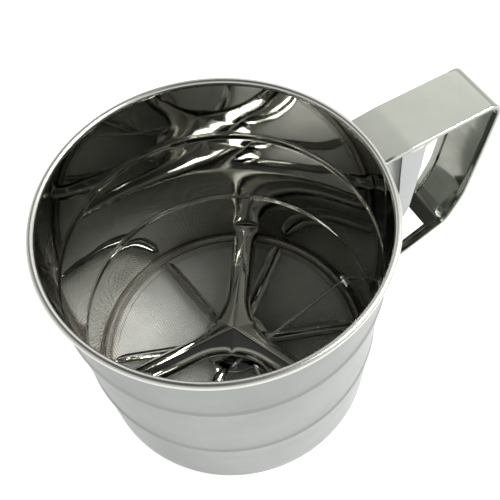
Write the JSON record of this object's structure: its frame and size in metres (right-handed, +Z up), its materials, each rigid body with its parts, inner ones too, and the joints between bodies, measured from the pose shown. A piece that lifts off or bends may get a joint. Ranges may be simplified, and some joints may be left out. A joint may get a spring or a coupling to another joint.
{
  "type": "hand-squeeze flour sifter",
  "caption": "Cup-shaped steel flour sifter with a woven base screen, a turning agitator under a fixed bridge, and a squeeze trigger inside its strip handle.",
  "frame": {"origin": "cup axis at the base plane, where the cup stands", "axes": "+X from the cup axis to the handle, +Y to the left of the handle seen from above, +Z up out of the cup's mouth"},
  "size_m": [0.1459, 0.102, 0.0888],
  "materials": {
    "cup_steel": "satin stainless steel outside, bright inside",
    "handle_steel": "bright drawn stainless strip",
    "bridge_steel": "mirror polished stainless steel",
    "blade_steel": "bright stamped stainless steel",
    "screen_wire": "fine woven stainless wire",
    "ring_steel": "plain stainless ring",
    "rod_wire": "drawn stainless wire",
    "pin_steel": "turned steel",
    "trigger_steel": "satin stainless sheet",
    "spring_wire": "spring wire"
  },
  "bodies": {
    "cup": {"cup_shell": "cup_steel", "screen_seat": "ring_steel", "screen_mesh": "screen_wire", "screen_hoop": "ring_steel", "screen_collar": "ring_steel", "spider_bridge": "bridge_steel", "axle_pin": "pin_steel", "axle_clip": "spring_wire", "axle_washer_top": "pin_steel", "axle_washer_base": "pin_steel", "wall_eyelet": "pin_steel", "handle_strip": "handle_steel", "pivot_bracket": "handle_steel", "pivot_pin": "pin_steel", "pin_clip": "spring_wire", "spacer_left": "pin_steel", "spacer_right": "pin_steel"},
    "trigger": {"trigger_lever": "trigger_steel", "trigger_spring": "spring_wire"},
    "agitator": {"agitator_rotor": "blade_steel", "rotor_bush": "pin_steel", "crank_eyelet": "pin_steel"},
    "rod": {"push_rod": "rod_wire", "rod_stop": "pin_steel", "rod_washer": "pin_steel"}
  },
  "joints": [
    {"name": "trigger_pivot", "type": "hinge", "parent": "cup", "child": "trigger", "pos_m": [0.0665, 0, 0.083], "axis": [0, -1, 0], "range_deg": [0, 7.9], "stiffness_Nm_per_rad": 0.5, "springref_deg": -17.19},
    {"name": "agitator_spin", "type": "hinge", "parent": "cup", "child": "agitator", "pos_m": [0, 0, 0.0046], "axis": [0, 0, 1], "range_deg": [0, 59.6]},
    {"name": "rod_swing", "type": "hinge", "parent": "agitator", "child": "rod", "pos_m": [-0.00549, -0.00895, 0.0072], "axis": [0, 0, 1], "range_deg": [-59.6, 0]}
  ],
  "couplings": [
    {"joint": "agitator_spin", "follows": "trigger_pivot", "ratio": 7.534},
    {"joint": "rod_swing", "follows": "trigger_pivot", "ratio": -7.534}
  ]
}
